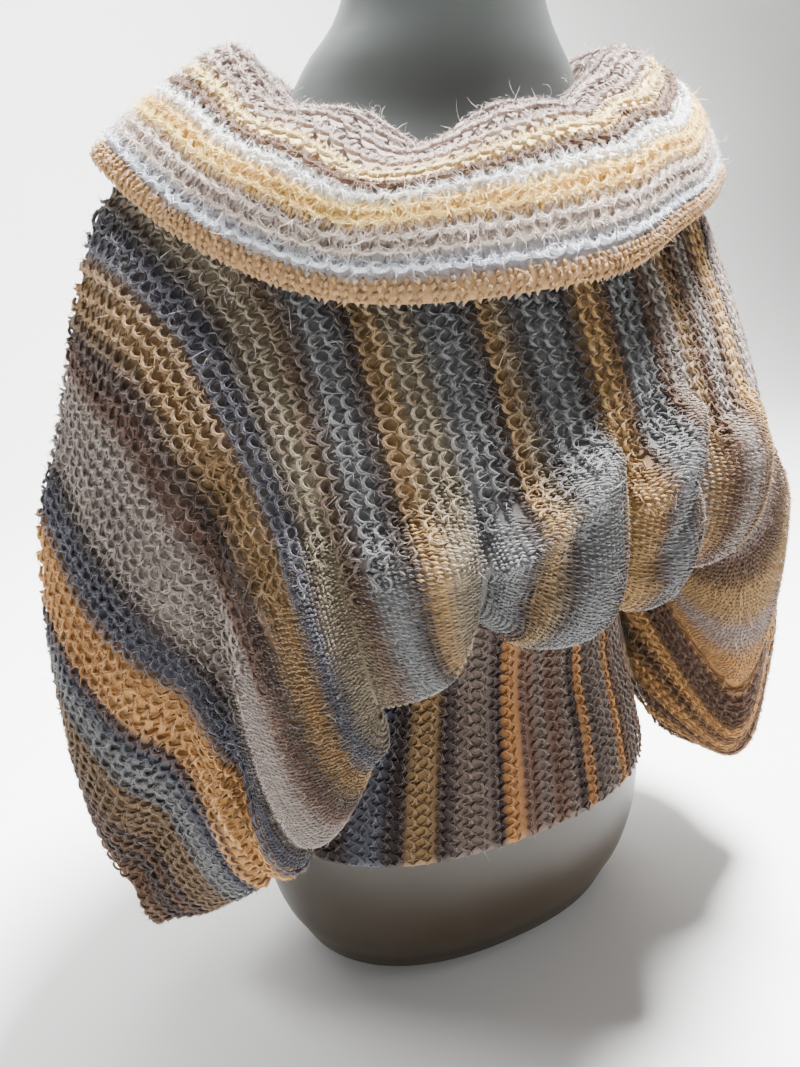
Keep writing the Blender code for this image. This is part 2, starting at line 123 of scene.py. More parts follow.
# Dress form
# A hollow torso of satin olive-grey plastic, blown in one piece, with a neck and no limbs.
# It stands on its own flat base and carries the knit top.
# Columns: height, half width, depth to the front, depth to the back, squareness (2 is an ellipse)
FORM_SECTIONS = (
    (0.000, 0.100, 0.062, 0.062, 2.3),
    (0.007, 0.120, 0.080, 0.080, 2.3),
    (0.033, 0.143, 0.098, 0.098, 2.3),
    (0.073, 0.156, 0.109, 0.108, 2.3),
    (0.115, 0.158, 0.110, 0.107, 2.3),
    (0.175, 0.146, 0.103, 0.096, 2.3),
    (0.240, 0.127, 0.094, 0.083, 2.3),
    (0.305, 0.129, 0.101, 0.085, 2.3),
    (0.360, 0.140, 0.119, 0.094, 2.3),
    (0.400, 0.147, 0.125, 0.099, 2.3),
    (0.460, 0.156, 0.108, 0.102, 2.2),
    (0.510, 0.165, 0.083, 0.094, 2.0),
    (0.535, 0.164, 0.071, 0.082, 1.8),
    (0.552, 0.155, 0.065, 0.073, 1.75),
    (0.565, 0.135, 0.061, 0.068, 1.7),
    (0.578, 0.113, 0.058, 0.063, 1.7),
    (0.595, 0.098, 0.056, 0.060, 1.8),
    (0.613, 0.086, 0.056, 0.059, 1.9),
    (0.631, 0.070, 0.055, 0.057, 2.0),
    (0.651, 0.060, 0.054, 0.055, 2.0),
    (0.685, 0.057, 0.053, 0.054, 2.0),
)
FORM_TOP = 0.685
FORM_LEVELS = 80
FORM_COLUMNS = 96
NECK_ROUND = 0.003
# Extra levels where the base and the neck's rim turn
FORM_EXTRA = (0.003, 0.007, 0.682, 0.684)
MM_PER_M = 1000


def spline(knots, values, at):
    """Smooth cubic through the values at the knots, with the mean slope of both sides at each knot."""
    knots, values, at = (np.asarray(part, float) for part in (knots, values, at))
    slopes = np.gradient(values, knots, axis=0)
    low = np.clip(np.searchsorted(knots, at, side="right") - 1, 0, len(knots) - 2)
    across = at.shape + (1,) * (values.ndim - 1)
    span = (knots[low + 1] - knots[low]).reshape(across)
    t = (at - knots[low]).reshape(across) / span
    return (
        (1 + 2 * t) * (1 - t) ** 2 * values[low]
        + t * (1 - t) ** 2 * span * slopes[low]
        + t**2 * (3 - 2 * t) * values[low + 1]
        + t**2 * (t - 1) * span * slopes[low + 1]
    )


def places_of(rows):
    """The points in a table's rows, in metres."""
    return np.array([row[1:] for row in rows]) / MM_PER_M


def form_ring(heights, angles, offset):
    """Superellipse round the form at each height, moved out by the offset.

    Angle 0 is the front and 90 degrees is +X.
    """
    table = np.array(FORM_SECTIONS)
    size = spline(table[:, 0], table[:, 1:], heights)
    s, c = np.sin(angles), np.cos(angles)
    power = 2 / size[..., 3]
    depth = np.where(c > 0, size[..., 1], size[..., 2])
    x = (size[..., 0] + offset) * np.sign(s) * np.abs(s) ** power
    y = -(depth + offset) * np.sign(c) * np.abs(c) ** power
    return np.stack([x, y, heights + 0 * angles], axis=-1)


def knit_mesh(name, points, faces, colours=None):
    """Smooth-shaded object from arrays of points and faces, with a yarn colour for each point if given."""
    mesh = bpy.data.meshes.new(name)
    mesh.from_pydata(points.tolist(), [], faces)
    mesh.shade_smooth()
    if colours is not None:
        rgba = np.ones((len(points), 4), np.float32)
        rgba[:, :3] = colours
        mesh.attributes.new("yarn_colour", "FLOAT_COLOR", "POINT").data.foreach_set("color", rgba.ravel())
    made = bpy.data.objects.new(name, mesh)
    bpy.context.scene.collection.objects.link(made)
    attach(made, "root")
    return made


form_heights = np.unique(np.concatenate([np.linspace(0.0, FORM_TOP, FORM_LEVELS), FORM_EXTRA]))
form_angles = np.linspace(0, 2 * math.pi, FORM_COLUMNS, endpoint=False)
near_top = np.clip((form_heights - (FORM_TOP - NECK_ROUND)) / NECK_ROUND, 0, 1)
form_inset = -NECK_ROUND * (1 - np.sqrt(1 - 0.98 * near_top**2))
form_points = form_ring(form_heights[:, None], form_angles[None, :], form_inset[:, None])
form_points = form_points.reshape(-1, 3)
level, column = np.meshgrid(np.arange(len(form_heights) - 1), np.arange(FORM_COLUMNS), indexing="ij")
beside = (column + 1) % FORM_COLUMNS
near, far = level * FORM_COLUMNS + column, level * FORM_COLUMNS + beside
form_faces = np.stack([near, far, far + FORM_COLUMNS, near + FORM_COLUMNS], axis=-1)
form_faces = form_faces.reshape(-1, 4).tolist()
form_faces.append(list(range(FORM_COLUMNS))[::-1])
form_faces.append(list(range(len(form_points) - FORM_COLUMNS, len(form_points))))
form_skin = knit_mesh("form_skin", form_points, form_faces)
form_skin.data.set_sharp_from_angle(angle=math.radians(40))


def fill(tree, node, inputs):
    """Sets a node's inputs: a socket of another node is linked, anything else is the value."""
    for name, value in inputs.items():
        if isinstance(value, bpy.types.NodeSocket):
            tree.links.new(value, node.inputs[name])
        else:
            node.inputs[name].default_value = value
    return node


def add_node(tree, kind, inputs):
    return fill(tree, tree.nodes.new("ShaderNode" + kind), inputs)


def add_ramp(tree, fac, stops):
    """Colour ramp between two stops, each a position and a colour."""
    ramp = add_node(tree, "ValToRGB", {"Fac": fac})
    for element, (position, colour) in zip(ramp.color_ramp.elements, stops):
        element.position = position
        element.color = (*colour, 1.0)
    return ramp.outputs["Color"]


def multiplied(tree, one, other):
    mix = tree.nodes.new("ShaderNodeMix")
    mix.data_type = "RGBA"
    mix.blend_type = "MULTIPLY"
    return fill(tree, mix, {"Factor": 1.0, "A": one, "B": other}).outputs["Result"]


satin = bpy.data.materials.new("satin_plastic")
satin.use_nodes = True
tree = satin.node_tree
coords = tree.nodes.new("ShaderNodeTexCoord").outputs["Object"]
clouds = add_node(tree, "TexNoise", {"Scale": 7.0, "Detail": 4.0, "Vector": coords})
part_of = add_node(tree, "SeparateXYZ", {"Vector": coords})
height = add_node(tree, "MapRange", {"From Max": FORM_TOP, "Value": part_of.outputs["Z"]})
# Painted shade and painted reflection: the plastic is painted darker and browner below, for shade and warm
# light bounced up from below, and greyer above
painted_shade_stops = ((0.10, (0.021, 0.014, 0.007)), (0.90, (0.074, 0.082, 0.080)))
painted_shade_tint = add_ramp(tree, height.outputs["Result"], painted_shade_stops)
patchy = add_node(tree, "MapRange", {"To Min": 0.80, "To Max": 1.20, "Value": clouds.outputs["Fac"]})
grain = add_node(tree, "TexNoise", {"Scale": 900.0, "Detail": 2.0, "Vector": coords})
dimple = add_node(tree, "Bump", {"Strength": 0.08, "Distance": 0.0004, "Height": grain.outputs["Fac"]})
satin_look = {
    "Base Color": multiplied(tree, painted_shade_tint, patchy.outputs["Result"]),
    "Roughness": 0.42,
    "Specular IOR Level": 0.28,
    "Coat Weight": 0.04,
    "Coat Roughness": 0.30,
    "Normal": dimple.outputs["Normal"],
}
fill(tree, tree.nodes["Principled BSDF"], satin_look)
form_skin.data.materials.append(satin)
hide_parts("dress_form")

# Waistband
# Knitted sideways in garter stitch, so its ridges run up and down as chains of purl loops.
# It fits the form closely, and the gathered panels are sewn to its upper edge.
WALL = 0.003
FORM_GAP = 0.0006
HEM_HEIGHT = 0.125
BAND_TOP = 0.327
BAND_CHAINS = 96
BAND_LOOP = 0.0081
BAND_GROUND = 0.0008
CHAIN_LENGTH = 0.2
# Half step round the band, side that the loops arch to, and stitch: raised chains, then those between them
BAND_KNIT = (
    (0.0, 0.8, (6, 3, 0.0025, 0.0010, 500)),
    (0.5, -1, (3, 3, 0.0017, 0.0009, 0)),
)
# How a loop arches across its row, stands out of it and is rounded along it
LOOP_SWING = 0.72
LOOP_RISE = 0.0012
LOOP_ROUND = 0.10
ARCH_MIDDLE = 0.62
WIDEST_ROW = 0.0095

# Shades of the hand-dyed yarn
SHADES = {
    "gold": (0.37, 0.225, 0.090),
    "tan": (0.262, 0.214, 0.146),
    "amber": (0.49, 0.255, 0.088),
    "slate": (0.073, 0.074, 0.096),
    "grey": (0.175, 0.178, 0.183),
    "charcoal": (0.056, 0.041, 0.037),
    "plum": (0.028, 0.015, 0.015),
    "navy": (0.036, 0.033, 0.043),
    "brown": (0.108, 0.055, 0.031),
    "umber": (0.126, 0.066, 0.044),
    "taupe": (0.146, 0.106, 0.087),
    "bronze": (0.250, 0.150, 0.062),
    "rust": (0.37, 0.165, 0.050),
    "mauve": (0.33, 0.26, 0.235),
    "dove": (0.275, 0.231, 0.207),
    "ice": (0.60, 0.63, 0.71),
    "cream": (0.78, 0.59, 0.28),
    "snow": (0.80, 0.82, 0.85),
    "honey": (0.88, 0.58, 0.18),
    "rose": (0.59, 0.49, 0.43),
    "biscuit": (0.38, 0.225, 0.10),
}
# Columns: angle where the stripe begins, shade
BAND_STRIPES = (
    (-180, "umber"), (-168, "plum"), (-160, "navy"), (-146, "bronze"), (-138, "plum"),
    (-129, "taupe"), (-116, "plum"), (-107, "rust"), (-103, "umber"), (-90, "navy"),
    (-77, "plum"), (-68, "bronze"), (-60, "plum"), (-49, "slate"), (-38, "plum"),
    (-31.5, "bronze"), (-23, "plum"), (-18.5, "taupe"), (-7.5, "plum"), (-4.5, "rust"),
    (-1, "umber"), (3, "taupe"), (5.5, "umber"), (11, "taupe"), (14, "plum"), (17, "rust"),
    (20, "plum"), (22.5, "taupe"), (33, "rust"), (37, "plum"), (40, "taupe"), (52, "umber"),
    (62, "bronze"), (70, "plum"), (79, "navy"), (92, "umber"), (104, "rust"), (109, "plum"),
    (117, "taupe"), (133, "bronze"), (142, "plum"), (150, "navy"), (163, "bronze"), (171, "plum"),
)
chance = np.random.default_rng(7)


def stripe_shades(stripes, at, soft):
    """Colour of the stripe that each place lies in, blended over a soft width on both sides of it."""
    starts = np.array([row[0] for row in stripes])
    colours = np.array([SHADES[row[1]] for row in stripes])
    places = np.asarray(at, float)[..., None] + soft * np.linspace(-1, 1, 5)
    stripe = np.clip(np.searchsorted(starts, places, side="right") - 1, 0, len(starts) - 1)
    return colours[stripe].mean(axis=-2)


def smooth_step(t):
    t = np.clip(t, 0.0, 1.0)
    return t * t * (3 - 2 * t)


def unit(vectors):
    return vectors / np.maximum(np.linalg.norm(vectors, axis=-1, keepdims=True), 1e-9)


def run(line):
    """Length along a line from its first point to each of its points."""
    return np.concatenate([[0.0], np.cumsum(np.linalg.norm(np.diff(line, axis=0), axis=1))])


def points_at(at, knots, points):
    """Points of a line at places between its knots."""
    return np.stack([np.interp(at, knots, points[:, axis]) for axis in range(3)], axis=1)


def wander(count, at, amount):
    """Uneven hand: a random height for each of count places from 0 to 1, joined smoothly."""
    heights = chance.normal(0.0, amount, count + 2)
    place = np.clip(at, 0, 1) * count
    low = np.floor(place).astype(int)
    blend = smooth_step(place - low)
    return heights[low] * (1 - blend) + heights[low + 1] * blend


def wall_mesh(outer, inner, round_it):
    """Points and faces of a closed wall between two grids: both skins, and strips that join their edges."""
    n_along, n_down = outer.shape[:2]
    spans = n_along if round_it else n_along - 1
    i, j = np.meshgrid(np.arange(spans), np.arange(n_down - 1), indexing="ij")
    k = (i + 1) % n_along
    near, far = i * n_down + j, k * n_down + j
    quads = np.stack([near, near + 1, far + 1, far], axis=-1).reshape(-1, 4)
    count = n_along * n_down
    i = np.arange(spans)
    k = (i + 1) % n_along
    top = np.stack([i * n_down, k * n_down, k * n_down + count, i * n_down + count], axis=-1)
    faces = [quads, quads[:, ::-1] + count, top, top[:, ::-1] + n_down - 1]
    if not round_it:
        j = np.arange(n_down - 1)
        end = np.stack([j, j + count, j + 1 + count, j + 1], axis=-1)
        faces += [end, end[:, ::-1] + (n_along - 1) * n_down]
    return np.concatenate([outer.reshape(-1, 3), inner.reshape(-1, 3)]), np.concatenate(faces).tolist()


def loop_row(line, outward, across, gap, loops, steps, depth, phase, ring, lay):
    """Centre line of a row of purl loops along a line on the cloth.

    Each loop is an arch: across the row it follows the size of the sine of half the phase, so that
    it is round at its head and dips to a narrow foot, and it stands out with the same curve. Along
    the row the sine of the phase moves the points from the foot to the head, which rounds the head.
    Lay is the side the loop arches to.
    """
    length = run(line)
    t = np.linspace(0, 1, loops * steps + 1)
    if ring:
        t = t[:-1]
    turn = 2 * math.pi * loops * t + phase
    t = np.clip(t - LOOP_ROUND / loops * np.sin(turn), 0, 1)
    at = length / length[-1]
    middle = points_at(t, at, line)
    out = unit(points_at(t, at, outward))
    side = unit(points_at(t, at, across))
    spread = np.interp(t, at, gap)
    arch = np.sqrt(np.sin(turn / 2) ** 2 + 0.02)
    uneven = 1 + wander(loops, t, 0.14)
    swing = lay * LOOP_SWING * np.minimum(spread, WIDEST_ROW) * uneven * (arch - ARCH_MIDDLE)
    rise = depth + LOOP_RISE * (arch - ARCH_MIDDLE) + 0.0003 * wander(loops, t, 1.0)
    path = middle + side * swing[:, None] + out * rise[:, None]
    return path, out, arch, spread


def yarn_tube(path, out, radius, sides, ring, first):
    """Tube about a path: a ring of points across it at each point, the first on the outer side."""
    if ring:
        ahead = unit(np.roll(path, -1, axis=0) - np.roll(path, 1, axis=0))
    else:
        ahead = unit(np.gradient(path, axis=0))
    up = unit(out - ahead * np.sum(out * ahead, axis=1, keepdims=True))
    aside = np.cross(ahead, up)
    turn = np.arange(sides) * 2 * math.pi / sides
    spokes = np.cos(turn)[None, :, None] * up[:, None] + np.sin(turn)[None, :, None] * aside[:, None]
    points = path[:, None] + spokes * np.broadcast_to(radius, len(path))[:, None, None]
    spans = len(path) if ring else len(path) - 1
    i, j = np.meshgrid(np.arange(spans), np.arange(sides), indexing="ij")
    k, m = (i + 1) % len(path), (j + 1) % sides
    quads = np.stack([i * sides + j, i * sides + m, k * sides + m, k * sides + j], axis=-1)
    faces = (quads.reshape(-1, 4) + first).tolist()
    if not ring:
        faces.append((first + np.arange(sides)[::-1]).tolist())
        faces.append((first + (len(path) - 1) * sides + np.arange(sides)).tolist())
    return points.reshape(-1, 3), faces


# Where mohair fibres leave the yarn: points, outward directions, shades
halo_roots = []


class Skein:
    """Rows of yarn gathered into one mesh."""

    def __init__(self):
        self.points, self.faces, self.colours, self.count = [], [], [], 0

    def add(self, line, outward, across, gap, loops, stitch, phase, lay, shade, ring=False):
        """One row of loops. Stitch: points in a loop, sides, depth, yarn radius and fibres for each metre."""
        steps, sides, depth, thickness, fuzz = stitch
        path, out, arch, spread = loop_row(line, outward, across, gap, loops, steps, depth, phase, ring, lay)
        length = np.linalg.norm(np.diff(line, axis=0), axis=1).sum()
        radius = thickness * np.clip(spread / 0.0075, 0.62, 1.0) * (0.72 + 0.40 * arch)
        points, faces = yarn_tube(path, out, radius, sides, ring, self.count)
        t = np.linspace(0, 1, len(path))
        # Painted light and shade: each loop is lighter at its raised head and darker at its sunken foot; the
        # slow random drift along the row is the yarn's own uneven dye
        tone = (0.78 + 0.23 * arch) * (1 + 0.10 * wander(max(3, loops // 5), t, 1.0))
        colours = shade * np.clip(tone, 0.45, 1.6)[:, None]
        self.points.append(points)
        self.faces += faces
        self.colours.append(np.repeat(colours, sides, axis=0))
        self.count += len(points)
        if fuzz:
            pick = chance.integers(0, len(path), int(length * fuzz))
            turn = chance.normal(0, 0.6, len(pick))
            aside = np.cross(np.gradient(path, axis=0), out)[pick]
            lean = np.cos(turn)[:, None] * out[pick] + np.sin(turn)[:, None] * unit(aside)
            halo_roots.append((path[pick] + lean * 0.8 * radius[pick, None], out[pick], colours[pick]))

    def add_legs(self, middles, outs, ways, halves, width, shades, fuzz):
        """Plain stitches: each leg is a short spindle with a three-sided middle, bowed outwards."""
        aside = unit(np.cross(outs, ways))
        ends = ways * halves[:, None]
        crown = middles + outs * width
        left = middles + aside * width - outs * 0.2 * width
        right = middles - aside * width - outs * 0.2 * width
        sink = outs * 0.9 * width
        points = np.stack([middles - ends - sink, middles + ends - sink, crown, left, right], axis=1)
        base = self.count + 5 * np.arange(len(middles))[:, None, None]
        sides = np.array([(0, 2, 3), (0, 4, 2), (0, 3, 4), (1, 3, 2), (1, 2, 4), (1, 4, 3)])
        self.points.append(points.reshape(-1, 3))
        self.faces += (base + sides).reshape(-1, 3).tolist()
        # Painted light and shade: the crown of each leg is lighter and its sunken ends darker
        tone = np.array([0.84, 0.88, 1.08, 0.96, 0.96])
        self.colours.append((shades[:, None] * tone[None, :, None]).reshape(-1, 3))
        self.count += 5 * len(middles)
        pick = chance.random(len(middles)) < fuzz
        halo_roots.append((middles[pick] + outs[pick] * 0.7 * width, outs[pick], shades[pick]))

    def knit(self, name):
        return knit_mesh(name, np.concatenate(self.points), self.faces, np.concatenate(self.colours))


def mohair(name, rough, sheen, fibre_scale, dim):
    """Brushed yarn: its colour times dim (painted shade below 1), mottled by fibres, with a soft sheen and
    fine nap.
    """
    made = bpy.data.materials.new(name)
    made.use_nodes = True
    tree = made.node_tree
    dye = tree.nodes.new("ShaderNodeAttribute")
    dye.attribute_name = "yarn_colour"
    coords = tree.nodes.new("ShaderNodeTexCoord").outputs["Object"]
    noise = {"Scale": fibre_scale, "Detail": 4.0, "Roughness": 0.65, "Vector": coords}
    fibres = add_node(tree, "TexNoise", noise).outputs["Fac"]
    dark, pale = (0.62 * dim, 0.62 * dim, 0.62 * dim), (1.22 * dim, 1.20 * dim, 1.17 * dim)
    mottle = add_ramp(tree, fibres, ((0.30, dark), (0.72, pale)))
    nap = add_node(tree, "Bump", {"Strength": 0.6, "Distance": 0.0006, "Height": fibres})
    look = {
        "Base Color": multiplied(tree, dye.outputs["Color"], mottle),
        "Roughness": rough,
        "Specular IOR Level": 0.25,
        "Sheen Weight": sheen,
        "Sheen Roughness": 0.45,
        "Sheen Tint": (1.0, 0.96, 0.92, 1.0),
        "Normal": nap.outputs["Normal"],
    }
    fill(tree, tree.nodes["Principled BSDF"], look)
    return made


yarn_stuff = mohair("mohair_yarn", 0.85, 0.22, 1100.0, 0.97)
# Painted shade: the ground under the ridges is dimmed to 0.88, for the shade it lies in
ground_stuff = mohair("mohair_ground", 0.95, 0.14, 420.0, 0.88)

band_angles = np.linspace(0, 2 * math.pi, 2 * BAND_CHAINS, endpoint=False)
band_levels = np.linspace(BAND_TOP, HEM_HEIGHT, 24)
band_outer = form_ring(band_levels[None, :], band_angles[:, None], FORM_GAP + BAND_GROUND)
band_inner = form_ring(band_levels[None, :], band_angles[:, None], FORM_GAP)
band_turn = (np.degrees(band_angles) + 180) % 360 - 180
# Painted shade: the ground under the chains is darkened to 0.8 of its stripe colour
band_shades = 0.8 * np.repeat(stripe_shades(BAND_STRIPES, band_turn, 0.7), len(band_levels), axis=0)
band_points, band_faces = wall_mesh(band_outer, band_inner, True)
band_ground = knit_mesh("band_ground", band_points, band_faces, np.concatenate([band_shades, band_shades]))
band_ground.data.materials.append(ground_stuff)
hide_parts("waistband")

band_yarn = Skein()
chain_levels = np.linspace(BAND_TOP - 0.004, HEM_HEIGHT + 0.0015, 80)
for chain in range(BAND_CHAINS):
    phase = chance.uniform(0, 6.28)
    for half, lay, stitch in BAND_KNIT:
        angle = 2 * math.pi * (chain + half) / BAND_CHAINS
        lines = form_ring(chain_levels[None, :], angle + np.array([[-0.001], [0.0], [0.001]]), FORM_GAP)
        across = unit(lines[2] - lines[0])
        outward = unit(np.cross(np.gradient(lines[1], axis=0), across))
        gap = np.linalg.norm(lines[2] - lines[0], axis=1) / 0.002 * 2 * math.pi / BAND_CHAINS
        shade = stripe_shades(BAND_STRIPES, (math.degrees(angle) + 180) % 360 - 180, 0.7)
        # Painted shade: the chains between lie deeper and are darkened to 0.78
        shade = shade * (1 + 0.08 * chance.normal()) * (1.0 if half == 0 else 0.78)
        loops = round(CHAIN_LENGTH / BAND_LOOP)
        band_yarn.add(lines[1], outward, across, gap, loops, stitch, phase, lay, shade)
band_chains = band_yarn.knit("band_chains")
band_chains.data.materials.append(yarn_stuff)

# Front panel
# One batwing piece knitted from cuff to cuff, so each row runs from the shoulder line down to the waist.
# It is gathered into the waistband in soft puffs and sewn to the back along shoulders and underarms.
SEAM_GAP = 0.0006
TUCK_BELOW = 0.006
TUCK_GAP = 0.0020
BAND_STATION = 0.58
NECK_STATION = 0.30
ROW_KNOTS = (0.0, 0.27, 0.54, 0.80, 1.0)
HALF_CUFF_SPAN = 0.55
ROW_LENGTH = 0.42
# The rows slant: station on the chest, change of station for a step along the row above it and below it
ROW_SLANT = (
    (-1.000, 0.00, 0.00),
    (-0.880, 0.25, 0.20),
    (-0.750, 0.36, 0.32),
    (-0.685, 0.36, 0.38),
    (-0.600, 0.30, 0.26),
    (-0.520, 0.25, 0.16),
    (-0.430, 0.25, 0.09),
    (-0.355, 0.20, 0.02),
    (-0.300, 0.17, 0.06),
    (-0.230, 0.16, 0.05),
    (-0.100, 0.05, 0.02),
    (0.000, 0.00, 0.00),
    (1.000, 0.00, 0.00),
)
CHEST = 0.30
SLANT_END = 0.35
# Columns: station from the right cuff (-1) to the left (+1), then in millimetres a point on the
# shoulder line, on the chest, at the bust and at the lowest hang
FRONT_ROWS = (
    (-1.00, (-275, 0, 213), (-268, -28, 171), (-258, -36, 133), (-247, -26, 90)),
    (-0.88, (-275, 0, 293), (-270, -40, 230), (-252, -54, 169), (-216, -42, 97)),
    (-0.75, (-268, 0, 370), (-264, -48, 290), (-242, -72, 213), (-196, -64, 121)),
    (-0.62, (-248, 0, 427), (-248, -54, 345), (-230, -88, 265), (-176, -78, 143)),
    (-0.50, (-226, 0, 500), (-227, -54, 425), (-210, -104, 329), (-160, -102, 181)),
    (-0.45, (-210, 0, 537), (-212, -58, 465), (-192, -117, 353), (-150, -112, 209)),
    (-0.40, (-182, 0, 558), (-184, -66, 483), (-168, -128, 375), (-138, -120, 241)),
    (-0.30, (-120, 0, 585), (-126, -90, 490), (-128, -146, 380), (-106, -138, 293)),
    (-0.22, (-97, -46, 567), (-96, -106, 486), (-97, -156, 385), (-88, -148, 317)),
    (-0.12, (-48, -84, 552), (-50, -121, 483), (-51, -164, 391), (-52, -157, 336)),
    (0.00, (0, -96, 550), (0, -128, 485), (0, -170, 393), (0, -166, 325)),
    (0.12, (48, -84, 552), (48, -122, 489), (48, -164, 399), (46, -159, 335)),
    (0.22, (97, -46, 567), (92, -107, 496), (92, -154, 401), (86, -148, 339)),
    (0.30, (120, 0, 585), (124, -90, 500), (120, -144, 400), (110, -138, 339)),
    (0.40, (182, 0, 558), (178, -62, 487), (166, -118, 390), (150, -118, 320)),
    (0.45, (208, 0, 535), (203, -54, 461), (188, -107, 368), (164, -110, 288)),
    (0.50, (223, 0, 497), (217, -48, 425), (204, -94, 345), (176, -100, 255)),
    (0.62, (246, 0, 427), (240, -48, 347), (226, -84, 275), (188, -92, 165)),
    (0.75, (258, 0, 370), (252, -44, 290), (238, -70, 217), (198, -76, 125)),
    (0.88, (260, 0, 293), (256, -40, 231), (244, -54, 175), (214, -56, 111)),
    (1.00, (256, 0, 215), (254, -30, 180), (246, -40, 149), (228, -36, 115)),
)
# Where both panels are sewn together below the sleeves: station, then a point in metres
UNDERARM_SEAM = (
    (-1.00, (-0.240, 0.000, 0.059)),
    (-0.88, (-0.205, 0.000, 0.113)),
    (-0.75, (-0.170, 0.000, 0.195)),
    (-0.64, (-0.144, 0.000, 0.287)),
    (0.64, (0.142, 0.000, 0.281)),
    (0.75, (0.158, 0.000, 0.179)),
    (0.88, (0.186, 0.000, 0.113)),
    (1.00, (0.210, 0.000, 0.099)),
)
# The left sleeve swings forward: station, distance
SWING = ((0.45, 0.000), (0.65, 0.012), (0.80, 0.028), (1.00, 0.045))
# Cloth rounds over the form's shoulder: station, half width in stations, how far it stands out
SHOULDER_ROUND = (0.33, 0.13, 0.012)
# Gathers: first and last station of the puff, how far it stands out, where along the row it begins at
# both ends
FRONT_PUFFS = (
    (-0.620, -0.490, 0.010, 0.58, 0.54),
    (-0.490, -0.340, 0.020, 0.58, 0.51),
    (-0.340, -0.165, 0.022, 0.56, 0.47),
    (-0.165, 0.025, 0.027, 0.54, 0.41),
    (0.025, 0.175, 0.021, 0.51, 0.40),
    (0.175, 0.380, 0.020, 0.50, 0.44),
    (0.380, 0.580, 0.018, 0.48, 0.48),
)
PUFF_RISE = 0.12
PUFF_FALL = 0.14
# The ground wall: its depth below the outer face, how much deeper it lies in the gathers, its thickness
GROUND_DEPTH = 0.0014
GATHER_DEPTH = 0.0010
GROUND_WALL = 0.0011
# Folds: station and place along the row at both ends, half width in metres, height (a trough is below 0)
FRONT_FOLDS = (
    (-0.95, 0.58, -0.50, 0.58, 0.026, -0.009),
    (-0.155, 0.64, -0.010, 0.50, 0.010, 0.010),
    (-0.115, 0.74, -0.060, 0.60, 0.013, -0.009),
    (0.045, 0.58, 0.160, 0.48, 0.010, 0.008),
    (0.060, 0.70, 0.160, 0.58, 0.012, -0.007),
    (-0.378, 0.55, -0.360, 0.82, 0.009, 0.007),
    (-0.430, 0.46, -0.530, 0.66, 0.011, -0.010),
    (-0.530, 0.66, -0.660, 0.96, 0.013, -0.010),
    (-0.420, 0.60, -0.500, 0.82, 0.020, 0.006),
    (-0.300, 0.56, -0.200, 0.60, 0.014, 0.005),
    (0.230, 0.54, 0.340, 0.50, 0.012, 0.005),
    (0.700, 0.30, 0.760, 0.75, 0.018, -0.006),
)
# Columns: station where the stripe begins, shade
FRONT_STRIPES = (
    (-1.000, "brown"), (-0.955, "charcoal"), (-0.930, "brown"), (-0.905, "charcoal"),
    (-0.885, "bronze"), (-0.862, "charcoal"), (-0.848, "bronze"), (-0.828, "charcoal"),
    (-0.810, "grey"), (-0.765, "slate"), (-0.735, "brown"), (-0.722, "amber"), (-0.645, "slate"),
    (-0.590, "charcoal"), (-0.570, "dove"), (-0.490, "umber"), (-0.470, "charcoal"),
    (-0.450, "bronze"), (-0.412, "slate"), (-0.385, "charcoal"), (-0.372, "tan"),
    (-0.338, "brown"), (-0.322, "grey"), (-0.283, "charcoal"), (-0.256, "gold"), (-0.232, "tan"),
    (-0.186, "grey"), (-0.138, "charcoal"), (-0.114, "gold"), (-0.099, "tan"),
    (-0.087, "charcoal"), (-0.070, "grey"), (-0.012, "charcoal"), (0.012, "gold"),
    (0.055, "brown"), (0.072, "grey"), (0.120, "charcoal"), (0.135, "brown"), (0.150, "dove"),
    (0.185, "gold"), (0.202, "brown"), (0.235, "dove"), (0.270, "brown"), (0.300, "gold"),
    (0.345, "charcoal"), (0.365, "mauve"), (0.410, "brown"), (0.450, "gold"), (0.500, "mauve"),
    (0.540, "amber"), (0.590, "umber"), (0.625, "brown"), (0.660, "amber"), (0.700, "brown"),
    (0.730, "amber"), (0.780, "umber"), (0.820, "amber"), (0.860, "umber"), (0.890, "gold"),
    (0.930, "brown"), (0.955, "amber"),
)


def sewn_edge(stations, side):
    """Where each row ends: round the waistband up to its last station, then down the underarm."""
    turn = np.clip(stations / BAND_STATION, -1, 1) * math.pi / 2
    angles = turn if side < 0 else math.pi - turn
    heights = np.full_like(stations, BAND_TOP - TUCK_BELOW)
    ends = form_ring(heights, angles, FORM_GAP + WALL + TUCK_GAP)
    for sign in (-1, 1):
        past = stations * sign > BAND_STATION
        corner = form_ring(heights[:1], np.array([sign * math.pi / 2]), FORM_GAP + WALL + TUCK_GAP)[0]
        seam = [row for row in UNDERARM_SEAM if row[0] * sign > 0]
        seam = sorted([(sign * BAND_STATION, tuple(corner)), *seam])
        ends[past] = spline([row[0] for row in seam], [row[1] for row in seam], stations[past])
    return ends


def cloth_normals(points, round_it):
    """Unit normals of a grid: the step down the cloth crossed with the step along it."""
    if round_it:
        along = np.roll(points, -1, axis=0) - np.roll(points, 1, axis=0)
    else:
        along = np.gradient(points, axis=0)
    return unit(np.cross(np.gradient(points, axis=1), along))


